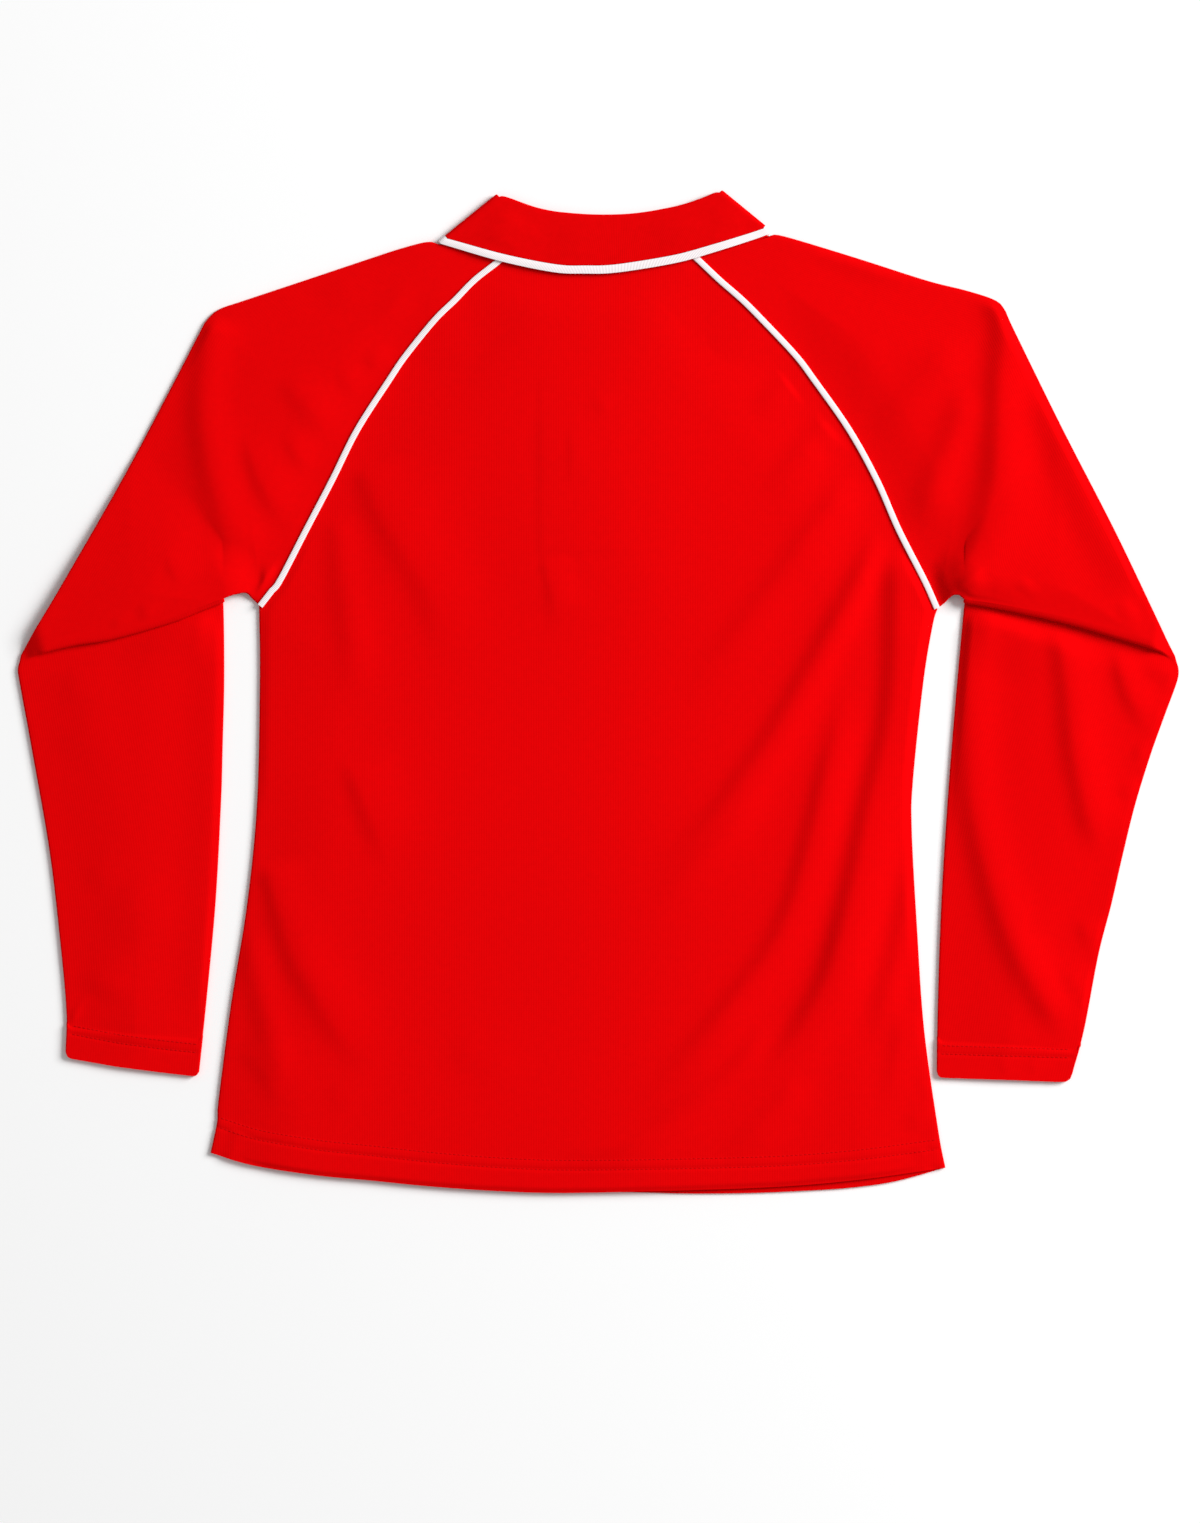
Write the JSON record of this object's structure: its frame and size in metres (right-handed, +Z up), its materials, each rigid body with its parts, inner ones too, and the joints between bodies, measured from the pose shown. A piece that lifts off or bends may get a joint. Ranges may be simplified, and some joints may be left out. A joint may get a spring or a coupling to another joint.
{
  "type": "long-sleeved polo shirt laid flat",
  "caption": "Long-sleeved polo shirt in plain red knit with white tape on its raglan seams and collar, laid flat and face down with bent sleeves.",
  "frame": {"origin": "middle of the shirt's outline, on the surface that it rests on", "axes": "+X to the shirt's right-hand side as seen from above, along the stretch from elbow to elbow, +Y towards the collar, +Z up from the surface"},
  "size_m": [0.8416, 0.7278, 0.0093],
  "materials": {
    "red_knit": "matt",
    "white_tape": "matt",
    "red_button": "polished"
  },
  "bodies": {
    "root": {"back_panel": "red_knit", "front_panel": "red_knit", "sleeve_left": "red_knit", "sleeve_right": "red_knit", "collar": "red_knit", "collar_tape": "white_tape", "raglan_tape_left": "white_tape", "raglan_tape_right": "white_tape", "placket_upper": "red_knit", "placket_under": "red_knit", "button_1": "red_button", "button_2": "red_button", "button_3": "red_button"}
  },
  "joints": []
}
